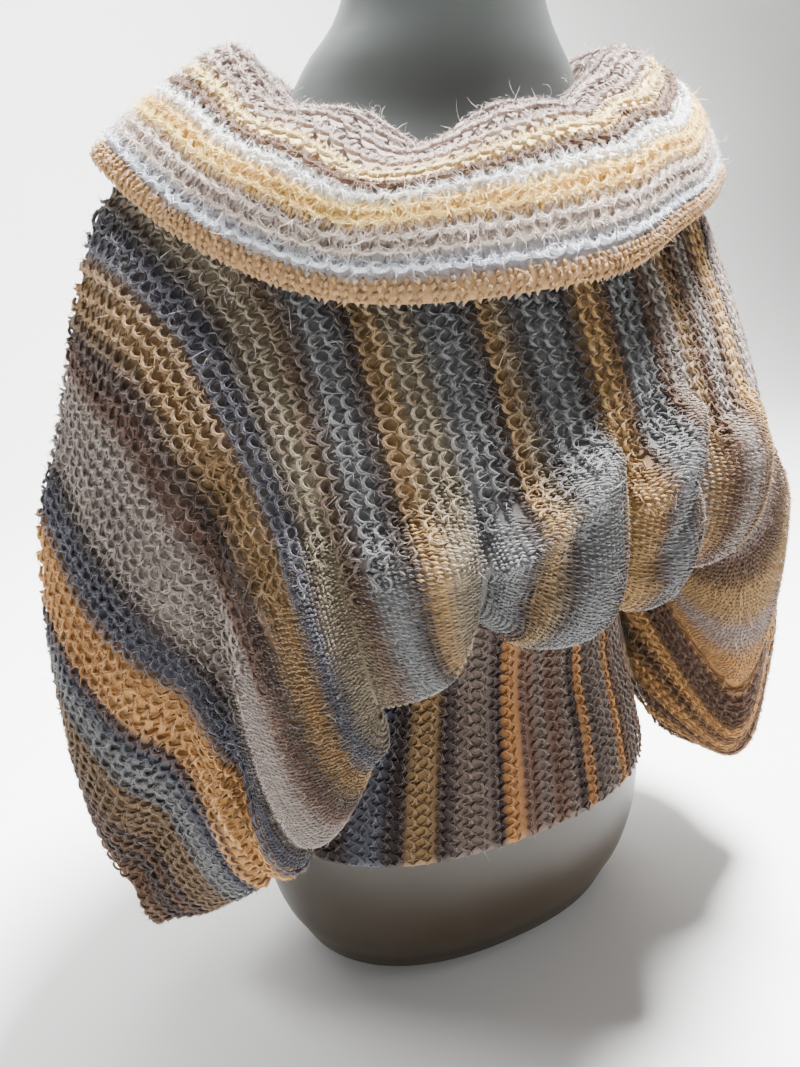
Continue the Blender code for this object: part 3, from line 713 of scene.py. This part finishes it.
def panel_net(rows, puffs, folds, side, stations, along):
    """Outer points and normals of a panel.

    A spline over the stations for each column and one along each row give the drape. The puffs, the rounding
    over the shoulders and the folds then move the points along the normals. A fold is a bell curve of the
    distance from its line, with the distance reckoned in the flat cloth.
    """
    knots = [row[0] for row in rows]
    places = places_of(rows)
    top = spline(knots, places[:, 0], stations)
    top[:, 1] = side * np.maximum(side * top[:, 1], SEAM_GAP / 2)
    columns = [spline(knots, places[:, c], stations) for c in (1, 2, 3)]
    net = np.stack([top, *columns, sewn_edge(stations, side)])
    points = spline(ROW_KNOTS, net, along).transpose(1, 0, 2)
    relief = np.zeros(points.shape[:2])
    for first, last, height, *starts in puffs:
        over = np.clip((2 * stations - first - last) / (last - first), -1, 1)
        start = np.interp(over, (-1, 1), starts)
        rise = smooth_step((along - start[:, None]) / PUFF_RISE) * smooth_step((1.0 - along) / PUFF_FALL)
        relief += height * (1 - over[:, None] ** 2) ** 0.8 * rise
    middle, half_width, height = SHOULDER_ROUND
    over = np.clip((np.abs(stations) - middle) / half_width, -1, 1)
    down = np.clip(along / ROW_KNOTS[1], 0, 1)
    relief += height * np.outer(0.5 + 0.5 * np.cos(math.pi * over), np.sin(math.pi * down**0.7))
    flat_x, flat_y = np.meshgrid(HALF_CUFF_SPAN * stations, ROW_LENGTH * along, indexing="ij")
    for first, first_place, last, last_place, half_width, height in folds:
        begin = np.array([HALF_CUFF_SPAN * first, ROW_LENGTH * first_place])
        line = np.array([HALF_CUFF_SPAN * last, ROW_LENGTH * last_place]) - begin
        t = np.clip(((flat_x - begin[0]) * line[0] + (flat_y - begin[1]) * line[1]) / np.sum(line**2), 0, 1)
        away = np.hypot(flat_x - begin[0] - t * line[0], flat_y - begin[1] - t * line[1])
        relief += height * np.exp(-((away / half_width) ** 2)) * smooth_step((1.0 - along) / 0.1)
    points = points + side * -cloth_normals(points, False) * relief[..., None]
    points[..., 1] = side * np.maximum(side * points[..., 1], SEAM_GAP / 2)
    normals = side * -cloth_normals(points, False)
    swing = np.interp(stations, [row[0] for row in SWING], [row[1] for row in SWING])
    points[..., 1] -= swing[:, None]
    return points, normals


def even_stations(rows, side, pitch):
    """Stations of the knitted rows, an even pitch apart where they cross the chest."""
    fine = np.linspace(-0.990, 0.990, 900)
    points, _ = panel_net(rows, (), (), side, fine, np.linspace(CHEST, 0.42, 5))
    length = run(points[:, 2])
    count = round(length[-1] / pitch)
    return np.interp(np.linspace(0, length[-1], 2 * count + 1), length, fine)


def slanted(stations, along):
    """Station that each row, named by its station on the chest, has at each place along it."""
    chest, above, below = np.array(ROW_SLANT).T
    upwards = np.outer(np.interp(stations, chest, above), np.minimum(along - CHEST, 0))
    downwards = np.outer(np.interp(stations, chest, below), np.clip(along - CHEST, 0, SLANT_END))
    return stations[:, None] + upwards + downwards


def puff_stations(puffs, count):
    """Stations from cuff to cuff, closer together towards the valleys between the puffs."""
    turn = 0.5 - 0.5 * np.cos(np.linspace(0, math.pi, count, endpoint=False))
    spans = [np.linspace(-1, puffs[0][0], 2 * count, endpoint=False)]
    spans += [puff[0] + (puff[1] - puff[0]) * turn for puff in puffs]
    spans += [np.linspace(puffs[-1][1], 1, 2 * count)]
    return np.concatenate(spans)


def panel_ground(name, rows, puffs, folds, stripes, side, counts):
    """The knit under its ridges: a thin wall that follows the panel, just inside its outer face."""
    stations = puff_stations(puffs, counts[0])
    along = np.linspace(0, 1, counts[1])
    points, normals = panel_net(rows, puffs, folds, side, stations, along)
    swing = np.interp(stations, [row[0] for row in SWING], [row[1] for row in SWING])[:, None]
    gathered = np.outer(smooth_step((0.64 - np.abs(stations)) / 0.06), smooth_step((along - 0.35) / 0.2))
    depth = GROUND_DEPTH + GATHER_DEPTH * gathered[..., None]
    outer = points - depth * normals
    inner = points - (depth + GROUND_WALL) * normals
    for skin in (outer, inner):
        skin[..., 1] = side * np.maximum(side * (skin[..., 1] + swing), SEAM_GAP / 2) - swing
    fine = np.linspace(-1, 1, 801)
    lines = slanted(fine, along)
    named = np.stack([np.interp(stations, lines[:, column], fine) for column in range(len(along))], axis=1)
    shades = stripe_shades(stripes, named[::-side], 0.010).reshape(-1, 3)
    verts, faces = wall_mesh(outer[::-side], inner[::-side], False)
    made = knit_mesh(name, verts, faces, np.concatenate([shades, shades]))
    made.data.materials.append(ground_stuff)
    return made


def panel_rows(rows, puffs, folds, stripes, side, gauge, ridge, between, legs, skeins):
    """Knits the panel's rows: every other one a raised ridge of loops, and those between lying deeper.

    In the gathers the ridges end, and the rows show the legs of plain stitches that cross them, painted
    lighter at the head of each gather as painted light and darker below it as painted shade.
    """
    along = np.linspace(0.002, 0.99, 240)
    fine = puff_stations(puffs, 70)
    net, net_normals = panel_net(rows, puffs, folds, side, fine, along)

    def lay_rows(stations):
        places = slanted(stations, along)
        laid = [
            np.stack(
                [
                    np.interp(places[:, column], fine, grid[:, column, axis])
                    for column in range(len(along))
                    for axis in range(3)
                ],
                axis=1,
            ).reshape(len(stations), len(along), 3)
            for grid in (net, net_normals)
        ]
        ahead = unit(np.gradient(laid[0], axis=1))
        step = np.gradient(laid[0], axis=0)
        step = step - ahead * np.sum(step * ahead, axis=2, keepdims=True)
        return laid[0], unit(laid[1]), unit(step), np.linalg.norm(step, axis=2)

    def skein_at(station):
        return skeins[min(int((station + 1) / 2 * len(skeins)), len(skeins) - 1)]

    def gather_start(station):
        inside = [puff for puff in puffs if puff[0] <= station <= puff[1]]
        return np.interp(station, inside[0][:2], inside[0][3:]) + 0.04 if inside else 1.0

    stations = even_stations(rows, side, gauge[0])
    points, normals, across, gaps = lay_rows(stations)
    for row, station in enumerate(stations):
        raised = row % 2 == 0
        garter = along <= gather_start(station) + 0.02 * chance.normal()
        if raised:
            length = np.linalg.norm(np.diff(points[row][garter], axis=0), axis=1).sum()
            loops = max(3, round(length / gauge[1]))
            phase = math.pi * (row // 2 % 2) + chance.normal(0, 0.3)
        stitch = ridge if raised else between
        if stitch:
            shade = stripe_shades(stripes, station + chance.normal(0, 0.002), 0.008)
            # Painted shade: the rows between the ridges lie deeper and are darkened to 0.80
            shade = shade * (1 + 0.07 * chance.normal()) * (1.0 if raised else 0.80)
            lines = [grid[row][garter] for grid in (points, normals, across)]
            gap = 2 * gaps[row][garter]
            lay = side if raised else -side
            skein_at(station).add(*lines, gap, loops, stitch, phase, lay, shade)

    pitch, spacing, width = legs
    gather = (fine > puffs[0][0]) & (fine < puffs[-1][1])
    level = np.argmin(np.abs(along - 0.75))
    length = run(net[gather, level])
    stations = np.interp(np.arange(0.5 * pitch, length[-1], pitch), length, fine[gather])
    points, normals, across, gaps = lay_rows(stations)
    for row, station in enumerate(stations):
        plain = along > gather_start(station) - 0.03 + 0.02 * chance.normal()
        line = points[row][plain]
        length = run(line)
        count = int(length[-1] / spacing)
        at = (np.arange(count) + chance.uniform(0.2, 0.8, count)) * spacing
        middles, outs, sideways = (
            points_at(at, length, grid[row][plain]) for grid in (points, normals, across)
        )
        outs = unit(outs)
        slant = np.radians(20 + 9 * chance.normal(size=(count, 1)))
        ways = unit(np.cos(slant) * sideways + np.sin(slant) * np.cross(sideways, outs))
        halves = np.clip(0.68 * np.interp(at, length, gaps[row][plain]), 0.0017, 0.0044)
        shade = stripe_shades(stripes, station + chance.normal(0, 0.004, count), 0.008)
        below = smooth_step((np.interp(at, length, along[plain]) - gather_start(station)) / 0.2)
        uneven = np.clip(1 + 0.11 * chance.normal(size=(count, 1)), 0.6, 1.6)
        # Painted light and shade: legs are lighter at the head of the gather and darker below it
        shade = shade * (1.08 - 0.32 * below[:, None]) * uneven
        skein_at(station).add_legs(middles - outs * 0.0004, outs, ways, halves, width, shade, 0.32)


FRONT_SHAPE = (FRONT_ROWS, FRONT_PUFFS, FRONT_FOLDS, FRONT_STRIPES, -1)
front_ground = panel_ground("front_ground", *FRONT_SHAPE, (16, 56))
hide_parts("front")
front_skeins = [Skein(), Skein()]
# Row pitch and loop width, then the stitches of both kinds of row and the legs
FRONT_KNIT = (
    (0.0081, 0.0081),
    (8, 3, 0.0006, 0.00116, 1500),
    (4, 3, -0.0003, 0.00085, 0),
    (0.0037, 0.0025, 0.0009),
)
panel_rows(*FRONT_SHAPE, *FRONT_KNIT, front_skeins)
front_names = ("front_rows_right", "front_rows_left")
front_rows = [skein.knit(name) for skein, name in zip(front_skeins, front_names)]
for made in front_rows:
    made.data.materials.append(yarn_stuff)

# Back panel
# The same batwing piece behind, a little flatter, with its own gathers.
# Behind the body the rows have their own places, with the same columns as in front
BACK_MIDDLE = (
    (-0.30, (-120, 0, 585), (-128, 84, 505), (-132, 122, 400), (-120, 124, 300)),
    (-0.22, (-97, 46, 578), (-96, 104, 505), (-100, 130, 403), (-98, 133, 324)),
    (-0.12, (-48, 80, 572), (-54, 117, 505), (-58, 134, 405), (-58, 138, 326)),
    (0.00, (0, 86, 570), (0, 120, 505), (0, 134, 405), (0, 140, 323)),
    (0.12, (48, 80, 572), (54, 117, 505), (58, 134, 405), (58, 138, 326)),
    (0.22, (97, 46, 578), (96, 104, 505), (100, 130, 403), (98, 133, 324)),
    (0.30, (120, 0, 585), (128, 84, 505), (132, 122, 400), (120, 124, 315)),
)
SLEEVE_STATION = 0.40
# The sleeves hang as they do in front, but flatter
BACK_DEPTH = 0.9
# For the chest, the bust and the lowest hang: how much wider and how many millimetres higher
BACK_HANG = ((1.0, 4), (1.0, 4), (1.02, 6))


def behind(row):
    """A sleeve's row of the front, turned to the back."""
    station, top, *points = row
    turned = [
        (round(wider * x), round(-BACK_DEPTH * y), z + higher)
        for (x, y, z), (wider, higher) in zip(points, BACK_HANG)
    ]
    return (station, top, *turned)


BACK_SLEEVES = tuple(behind(row) for row in FRONT_ROWS if abs(row[0]) >= SLEEVE_STATION)
BACK_ROWS = sorted(BACK_MIDDLE + BACK_SLEEVES)
BACK_PUFFS = (
    (-0.580, -0.390, 0.014, 0.50, 0.54),
    (-0.390, -0.210, 0.018, 0.52, 0.48),
    (-0.210, -0.020, 0.020, 0.45, 0.51),
    (-0.020, 0.190, 0.021, 0.51, 0.48),
    (0.190, 0.370, 0.018, 0.45, 0.51),
    (0.370, 0.580, 0.014, 0.54, 0.50),
)
BACK_FOLDS = (
    (-0.950, 0.56, -0.520, 0.56, 0.026, -0.008),
    (-0.420, 0.44, -0.530, 0.68, 0.012, -0.008),
    (-0.530, 0.68, -0.650, 0.96, 0.013, -0.008),
    (0.430, 0.42, 0.540, 0.66, 0.012, -0.008),
    (0.540, 0.66, 0.650, 0.96, 0.013, -0.008),
    (0.700, 0.30, 0.780, 0.75, 0.018, -0.006),
    (-0.330, 0.62, -0.250, 0.56, 0.012, 0.006),
    (-0.160, 0.58, -0.060, 0.64, 0.011, 0.007),
    (-0.130, 0.70, -0.060, 0.72, 0.012, -0.005),
    (0.040, 0.64, 0.140, 0.56, 0.011, 0.007),
    (0.230, 0.56, 0.320, 0.62, 0.012, 0.006),
    (-0.200, 0.18, -0.140, 0.42, 0.024, 0.004),
    (0.080, 0.20, 0.050, 0.44, 0.026, 0.004),
    (0.240, 0.16, 0.200, 0.40, 0.022, 0.004),
)
BACK_SHAPE = (BACK_ROWS, BACK_PUFFS, BACK_FOLDS, FRONT_STRIPES, 1)
back_ground = panel_ground("back_ground", *BACK_SHAPE, (15, 46))
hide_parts("back")
back_skein = Skein()
BACK_KNIT = ((0.0095, 0.0095), (4, 3, 0.0006, 0.00140, 400), None, (0.0050, 0.0034, 0.0014))
panel_rows(*BACK_SHAPE, *BACK_KNIT, [back_skein])
back_rows = back_skein.knit("back_rows")
back_rows.data.materials.append(yarn_stuff)

# Collar
# A wide garter-stitch ring sewn to the neckline. It stands up a little, folds over and falls outwards
# as a cowl, with a rolled loose edge.
COLLAR_LIFT = 0.0020
COLLAR_LOOP = 0.0098
# The rows sag at the front: angle, half width in degrees, how far
SAG = (-28.0, 20.0, 0.09)
# Bumps and dips of the fold: angle, half width in degrees, where along the collar, height (a dip is below 0)
COLLAR_FOLDS = (
    (-84.0, 10.0, 0.32, 0.003),
    (-64.0, 9.0, 0.25, -0.006),
    (-46.0, 8.0, 0.28, 0.003),
    (-30.0, 13.0, 0.25, -0.012),
    (-10.0, 9.0, 0.28, 0.003),
    (22.0, 11.0, 0.25, -0.006),
    (62.0, 14.0, 0.30, 0.007),
    (125.0, 14.0, 0.30, -0.006),
    (165.0, 18.0, 0.30, 0.006),
    (-150.0, 16.0, 0.28, -0.006),
)
FOLD_REACH = 0.26
ROLL_START = 0.88
ROLL_WIDTH = 0.14
ROLL_HEIGHT = 0.0035
# Depths of both faces of the ground below the collar's outer face
COLLAR_DEPTHS = (0.0010, 0.0030)
COLLAR_STITCH = (8, 3, 0.0018, 0.0015, 5200)
COLLAR_KNOTS = (0.0, 0.25, 0.62, 1.0)
# Columns: angle from the front, then in millimetres a point on the fold, on the fall and on its loose edge
COLLAR_ROWS = (
    (0.0, (0, -84, 579), (2, -126, 547), (0, -152, 493)),
    (35.0, (50, -62, 593), (72, -112, 563), (74, -130, 516)),
    (65.0, (96, -30, 611), (128, -72, 579), (138, -90, 535)),
    (90.0, (120, 0, 627), (166, -20, 605), (198, -28, 553)),
    (135.0, (72, 72, 609), (110, 108, 585), (134, 128, 537)),
    (180.0, (0, 86, 603), (0, 124, 575), (0, 150, 525)),
    (225.0, (-72, 72, 609), (-110, 108, 585), (-136, 128, 537)),
    (270.0, (-124, 6, 613), (-170, 4, 591), (-208, 12, 561)),
    (295.0, (-114, -34, 588), (-154, -58, 561), (-185, -50, 523)),
    (325.0, (-62, -74, 571), (-106, -108, 539), (-122, -114, 488)),
)
# Columns: how far from the neck seam to the loose edge the stripe begins, shade
COLLAR_STRIPES = (
    (0.000, "mauve"), (0.440, "cream"), (0.500, "brown"), (0.555, "snow"), (0.625, "honey"),
    (0.730, "rose"), (0.850, "ice"), (0.910, "biscuit"),
)
# Where the raised ridges lie from the neck seam to the loose edge
COLLAR_RIDGES = (0.06, 0.13, 0.20, 0.27, 0.34, 0.41, 0.47, 0.53, 0.59, 0.65, 0.70, 0.765, 0.82, 0.885)


def neck_edge(angles):
    """The panels' upper edge at angles from the front, moved in by the wall and up by the lift."""
    turn = (angles + 180) % 360 - 180
    at_front = np.abs(turn) <= 90
    stations = np.where(at_front, turn, np.sign(turn) * (180 - np.abs(turn))) / 90 * NECK_STATION
    knots = [row[0] for row in FRONT_ROWS]
    front = spline(knots, places_of(FRONT_ROWS)[:, 0], stations)
    back = spline(knots, places_of(BACK_ROWS)[:, 0], stations)
    edge = np.where(at_front[:, None], front, back)
    edge[:, :2] -= WALL * unit(edge[:, :2])
    edge[:, 2] += COLLAR_LIFT
    return edge


def collar_net(angles, along):
    """Outer points and normals of the collar, by splines round the neck and out over the fold."""
    turns = np.array([row[0] for row in COLLAR_ROWS])
    places = places_of(COLLAR_ROWS)
    knots = np.concatenate([turns - 360, turns, turns + 360])
    columns = spline(knots, np.concatenate([places] * 3), angles).transpose(1, 0, 2)
    net = np.stack([neck_edge(angles), *columns])
    points = spline(COLLAR_KNOTS, net, along).transpose(1, 0, 2)
    for middle, half_width, place, height in COLLAR_FOLDS:
        near = np.exp(-(((angles - middle + 180) % 360 - 180) / half_width) ** 2)
        points[..., 2] += height * np.outer(near, np.exp(-(((along - place) / FOLD_REACH) ** 2)))
    roll = np.sin(math.pi * np.clip((along - ROLL_START) / ROLL_WIDTH, 0, 1))
    points = points + cloth_normals(points, True) * (ROLL_HEIGHT * roll)[None, :, None]
    return points, cloth_normals(points, True)


def sagging(angles, rows):
    """How far out each row, named by its place at the sides, lies at each angle: it sags at the front."""
    middle, half_width, most = SAG
    near = np.exp(-(((angles + 180) % 360 - 180 - middle) / half_width) ** 2)
    uneven = 0.008 * np.sin(np.radians(7 * angles + 40)) + 0.007 * np.sin(np.radians(13 * angles + 200))
    share = np.interp(rows, (0.0, 0.45, 0.86, 1.0), (0.0, 1.0, 0.0, 0.0))
    return rows[None, :] + np.outer(most * near, share) + np.outer(uneven, np.sin(math.pi * rows))


def along_collar(grid, places):
    """Points of a grid with even steps along the collar, at a place along it for each angle and row."""
    at = places * (grid.shape[1] - 1)
    low = np.clip(at.astype(int), 0, grid.shape[1] - 2)
    blend = (at - low)[..., None]
    turn = np.arange(len(grid))[:, None]
    return grid[turn, low] * (1 - blend) + grid[turn, low + 1] * blend


collar_angles = np.linspace(0, 360, 180, endpoint=False)
collar_along = np.linspace(0, 1, 34)
collar_points, collar_normals = collar_net(collar_angles, collar_along)
named_rows = np.linspace(0, 1, 201)
sagged = sagging(collar_angles, named_rows)
collar_named = np.stack([np.interp(collar_along, line, named_rows) for line in sagged])
collar_shades = stripe_shades(COLLAR_STRIPES, collar_named, 0.012).reshape(-1, 3)
collar_outer, collar_inner = (collar_points - depth * collar_normals for depth in COLLAR_DEPTHS)
collar_verts, collar_faces = wall_mesh(collar_outer, collar_inner, True)
collar_shades = np.concatenate([collar_shades, collar_shades])
collar_ground = knit_mesh("collar_ground", collar_verts, collar_faces, collar_shades)
collar_ground.data.materials.append(ground_stuff)
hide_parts("collar")

collar_yarn = Skein()
round_angles = np.linspace(0, 360, 361)
fine_points, fine_normals = collar_net(round_angles[:-1], np.linspace(0, 1, 121))
fine_points = np.concatenate([fine_points, fine_points[:1]])
fine_normals = np.concatenate([fine_normals, fine_normals[:1]])
ridge_rows = np.array(COLLAR_RIDGES)
ridge_places = sagging(round_angles, ridge_rows)
ridge_points = along_collar(fine_points, ridge_places)
ridge_normals = unit(along_collar(fine_normals, ridge_places))
ridge_steps = np.gradient(ridge_points, axis=1)
for ridge, row in enumerate(ridge_rows):
    lines = [ridge_points[:, ridge], ridge_normals[:, ridge], unit(ridge_steps[:, ridge])]
    gap = np.linalg.norm(ridge_steps[:, ridge], axis=1)
    loops = round(np.linalg.norm(np.diff(lines[0], axis=0), axis=1).sum() / COLLAR_LOOP)
    shade = stripe_shades(COLLAR_STRIPES, row, 0.004) * (1 + 0.06 * chance.normal())
    phase = chance.uniform(0, 6.28)
    collar_yarn.add(*lines, gap, loops, COLLAR_STITCH, phase, 0.75, shade, ring=True)

# Legs of plain stitches between the ridges and on the rolled edge: first and last row, how many rows,
# spacing, half length, width and how far out they lie
for first, last, count, spacing, half, width, out_by in (
    (0.095, 0.375, 5, 0.0040, 0.0050, 0.0013, 0.0000),
    (0.440, 0.730, 6, 0.0040, 0.0040, 0.0013, 0.0000),
    (0.730, 0.880, 4, 0.0036, 0.0045, 0.0014, 0.0000),
    (0.925, 0.995, 4, 0.0044, 0.0034, 0.0018, -0.0006),
):
    leg_places = sagging(round_angles, np.linspace(first, last, count))
    leg_points = along_collar(fine_points, leg_places)
    leg_normals = unit(along_collar(fine_normals, leg_places))
    ahead, behind = (along_collar(fine_points, leg_places + step) for step in (0.01, -0.01))
    leg_steps = unit(ahead - behind)
    for level, row in enumerate(np.linspace(first, last, count)):
        ring_line = leg_points[:, level]
        legs = int(np.linalg.norm(np.diff(ring_line, axis=0), axis=1).sum() / spacing)
        at = (np.arange(legs) + chance.uniform(0.2, 0.8, legs)) * 360 / legs
        middles, outs, down = (
            points_at(at, round_angles, grid[:, level]) for grid in (leg_points, leg_normals, leg_steps)
        )
        outs, down = unit(outs), unit(down)
        slant = np.radians(14 * chance.normal(size=(legs, 1)))
        ways = unit(np.cos(slant) * down + np.sin(slant) * np.cross(down, outs))
        shade = stripe_shades(COLLAR_STRIPES, row + chance.normal(0, 0.008, legs), 0.010)
        shade = shade * np.clip(1 + 0.12 * chance.normal(size=(legs, 1)), 0.6, 1.4)
        halves = half * np.clip(1 + 0.15 * chance.normal(size=legs), 0.6, 1.4)
        collar_yarn.add_legs(middles + outs * out_by, outs, ways, halves, width, shade, 0.9)
collar_ridges = collar_yarn.knit("collar_ridges")
collar_ridges.data.materials.append(yarn_stuff)

# Mohair halo
# Loose brushed fibres that stand off the yarn all over and blur its edges.
FIBRE_WIDTH = 0.00044
STRAYS = 2400
STRAY_WIDTH = 0.00026
# The roots carry their yarn's colours, with the painted light and shade of the loops and legs
roots = np.concatenate([part[0] for part in halo_roots])
outs = np.concatenate([part[1] for part in halo_roots])
root_colours = np.concatenate([part[2] for part in halo_roots])
count = len(roots)
ways = chance.normal(0, 1, (count, 3))
ways = unit(ways - outs * np.sum(ways * outs, axis=1, keepdims=True))
lift = chance.uniform(0.05, 0.70, (count, 1))
ways = unit(ways + outs * lift)
reach = np.clip(chance.gamma(3.5, 0.0014, (count, 1)), 0.0018, 0.0095) * (1.1 - lift)
flat = unit(np.cross(ways, outs + 0.6 * chance.normal(0, 1, (count, 3)))) * FIBRE_WIDTH / 2
fibre_points = np.stack([roots - flat, roots + flat, roots + ways * reach], axis=1).reshape(-1, 3)
fibre_faces = np.arange(3 * count).reshape(-1, 3).tolist()
# Painted light: the fibres are painted paler than their yarn, as if lit through
fibre_lit_colours = np.repeat(np.clip(1.25 * root_colours + 0.025, 0, 0.92), 3, axis=0)

# Long strays bend along an arc: at each step the way turns by the same amount about one axis
odds = np.where(roots[:, 2] > 0.48, 5.0, 1.0)
pick = chance.choice(count, STRAYS, p=odds / odds.sum())
steps = 5
heading = unit(ways[pick] + 0.3 * outs[pick])
bend = unit(np.cross(heading, chance.normal(0, 1, (STRAYS, 3))))
angle = np.outer(chance.normal(0, 0.50, STRAYS), np.arange(steps))[..., None]
turning = np.cos(angle) * heading[:, None] + np.sin(angle) * np.cross(bend, heading)[:, None]
stretch = np.clip(chance.gamma(5.0, 0.0019, (STRAYS, 1, 1)), 0.004, 0.016) / steps
spine = roots[pick][:, None] + np.cumsum(turning * stretch, axis=1)
spine = spine + outs[pick][:, None] * 0.0012
taper = np.linspace(1.0, 0.3, steps)[None, :, None] * STRAY_WIDTH / 2
edge = unit(np.cross(turning, outs[pick][:, None])) * taper
stray_points = np.stack([spine - edge, spine + edge], axis=2).reshape(-1, 3)
first = 3 * count + 2 * steps * np.arange(STRAYS)[:, None] + 2 * np.arange(steps - 1)[None, :]
stray_faces = np.stack([first, first + 1, first + 3, first + 2], axis=-1).reshape(-1, 4).tolist()
# Painted light: the strays are painted paler still, as bright lit strands
stray_lit_colours = np.repeat(np.clip(0.8 * root_colours[pick] + 0.30, 0, 0.92), 2 * steps, axis=0)
fibre_points = np.concatenate([fibre_points, stray_points])
fibre_faces += stray_faces
fibre_lit_colours = np.concatenate([fibre_lit_colours, stray_lit_colours])
mohair_halo = knit_mesh("mohair_halo", fibre_points, fibre_faces, fibre_lit_colours)
mohair_halo.data.materials.append(yarn_stuff)
